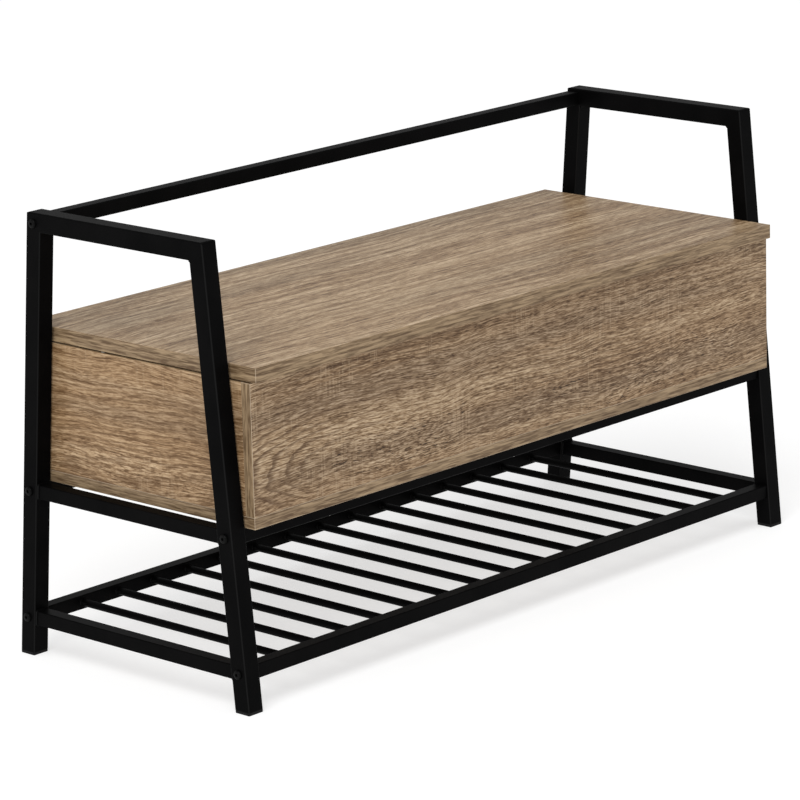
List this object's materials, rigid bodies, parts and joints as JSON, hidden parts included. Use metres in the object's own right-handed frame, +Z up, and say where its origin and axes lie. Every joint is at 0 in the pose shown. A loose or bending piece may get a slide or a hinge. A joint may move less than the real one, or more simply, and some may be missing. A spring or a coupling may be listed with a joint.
{
  "type": "entryway bench",
  "caption": "Entryway storage bench: black square-tube end frames and backrest rail, lift-up lid over a wood-look box, and a slatted shoe shelf near the floor.",
  "frame": {"origin": "on the floor, midway between the four legs", "axes": "+X along the bench to the right of someone standing in front of it, +Y from front to rear, +Z up"},
  "size_m": [1.0736, 0.4201, 0.59],
  "materials": {
    "frame_black": "satin powder coat",
    "bolt_black": "black oxide",
    "glide_plastic": "moulded",
    "nut_steel": "zinc plated",
    "lid_laminate": "satin sawn-oak laminate",
    "box_laminate": "satin sawn-oak laminate",
    "dowel_beech": "fluted beech",
    "cam_zinc": "die-cast zinc",
    "screw_zinc": "zinc plated",
    "hinge_steel": "satin nickel",
    "bumper_rubber": "soft clear pad"
  },
  "bodies": {
    "bench_frame": {"backrest_rail": "frame_black", "box_back_panel": "box_laminate", "box_bottom_board": "box_laminate", "box_dowels": "dowel_beech", "box_front_panel": "box_laminate", "box_left_side_panel": "box_laminate", "box_right_side_panel": "box_laminate", "cam_bolts": "cam_zinc", "cam_locks": "cam_zinc", "frame_bolts": "bolt_black", "hinge_box_screws": "screw_zinc", "left_arm_rail": "frame_black", "left_front_foot_glide": "glide_plastic", "left_front_leg": "frame_black", "left_hinge_box_leaf": "hinge_steel", "left_hinge_pin": "hinge_steel", "left_rear_foot_glide": "glide_plastic", "left_rear_leg": "frame_black", "left_seat_side_rail": "frame_black", "left_shelf_side_rail": "frame_black", "lid_bumpers": "bumper_rubber", "panel_screws": "screw_zinc", "rail_end_nuts": "nut_steel", "rail_screws": "screw_zinc", "right_arm_rail": "frame_black", "right_front_foot_glide": "glide_plastic", "right_front_leg": "frame_black", "right_hinge_box_leaf": "hinge_steel", "right_hinge_pin": "hinge_steel", "right_rear_foot_glide": "glide_plastic", "right_rear_leg": "frame_black", "right_seat_side_rail": "frame_black", "right_shelf_side_rail": "frame_black", "seat_front_rail": "frame_black", "seat_rear_rail": "frame_black", "shelf_front_rail": "frame_black", "shelf_rear_rail": "frame_black", "shelf_slat_01": "frame_black", "shelf_slat_02": "frame_black", "shelf_slat_03": "frame_black", "shelf_slat_04": "frame_black", "shelf_slat_05": "frame_black", "shelf_slat_06": "frame_black", "shelf_slat_07": "frame_black", "shelf_slat_08": "frame_black", "shelf_slat_09": "frame_black", "shelf_slat_10": "frame_black", "shelf_slat_11": "frame_black", "shelf_slat_12": "frame_black", "shelf_slat_13": "frame_black", "shelf_slat_14": "frame_black", "shelf_slat_15": "frame_black"},
    "lid": {"hinge_lid_screws": "screw_zinc", "left_hinge_lid_leaf": "hinge_steel", "lid_board": "lid_laminate", "right_hinge_lid_leaf": "hinge_steel"}
  },
  "joints": [
    {"name": "lid_hinge", "type": "hinge", "parent": "bench_frame", "child": "lid", "pos_m": [0, 0.1925, 0.4125], "axis": [-1, 0, 0], "range_deg": [0, 60]}
  ]
}
